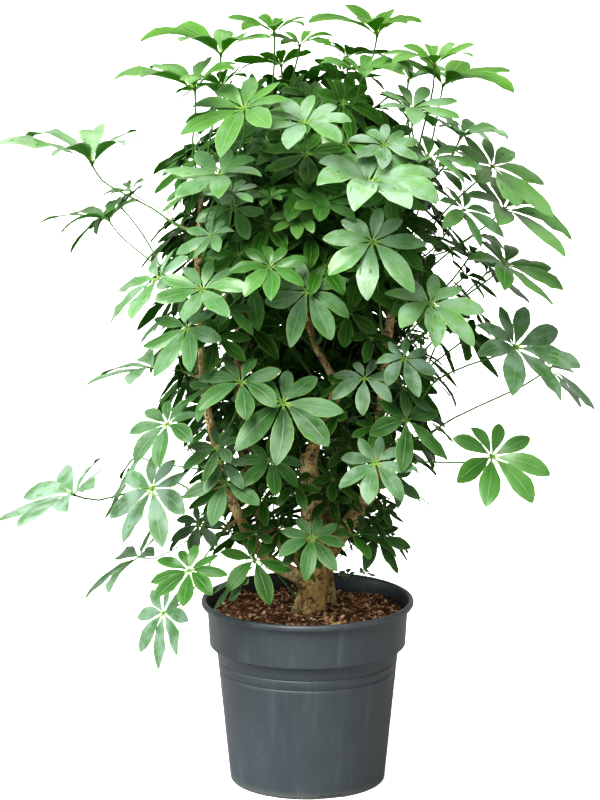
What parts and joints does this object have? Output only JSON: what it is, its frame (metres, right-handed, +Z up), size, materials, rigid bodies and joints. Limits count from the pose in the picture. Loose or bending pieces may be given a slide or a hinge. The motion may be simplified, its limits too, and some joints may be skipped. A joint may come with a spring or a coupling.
{
  "type": "potted umbrella plant",
  "caption": "Bushy umbrella plant with whorled leaflets on branched woody stems, growing in a dark round plastic nursery pot with a wide collar.",
  "frame": {"origin": "centre of the pot's flat underside", "axes": "+Z up along the pot's axis; the plant's front, with the fallen leaf on the soil, faces -Y; its right is +X"},
  "size_m": [0.7588, 0.5775, 0.9849],
  "materials": {
    "pot_plastic": "satin",
    "soil_mix": "matte",
    "bark": "matte",
    "foliage": "satin",
    "dry_leaf": "matte"
  },
  "bodies": {
    "root": {"pot": "pot_plastic", "potting_soil": "soil_mix", "woody_stem": "bark", "woody_stem_rear": "bark", "shoot_01": "foliage", "shoot_02": "foliage", "shoot_03": "foliage", "shoot_04": "foliage", "shoot_05": "foliage", "shoot_06": "foliage", "shoot_07": "foliage", "shoot_08": "foliage", "shoot_09": "foliage", "shoot_10": "foliage", "shoot_11": "foliage", "shoot_12": "foliage", "shoot_13": "foliage", "shoot_14": "foliage", "shoot_15": "foliage", "shoot_16": "foliage", "shoot_17": "foliage", "shoot_18": "foliage", "shoot_19": "foliage", "shoot_20": "foliage", "shoot_21": "foliage", "shoot_22": "foliage", "shoot_23": "foliage", "shoot_24": "foliage", "shoot_25": "foliage", "shoot_26": "foliage", "shoot_27": "foliage", "shoot_28": "foliage", "shoot_29": "foliage", "shoot_30": "foliage", "shoot_31": "foliage", "shoot_32": "foliage", "shoot_33": "foliage", "shoot_34": "foliage", "shoot_35": "foliage", "shoot_36": "foliage", "shoot_37": "foliage", "shoot_38": "foliage", "shoot_39": "foliage", "shoot_40": "foliage", "shoot_41": "foliage", "shoot_42": "foliage", "shoot_43": "foliage", "shoot_44": "foliage", "shoot_45": "foliage", "shoot_46": "foliage", "shoot_47": "foliage", "shoot_48": "foliage", "shoot_49": "foliage", "shoot_50": "foliage", "seedling": "foliage", "fallen_leaf": "dry_leaf"}
  },
  "joints": []
}
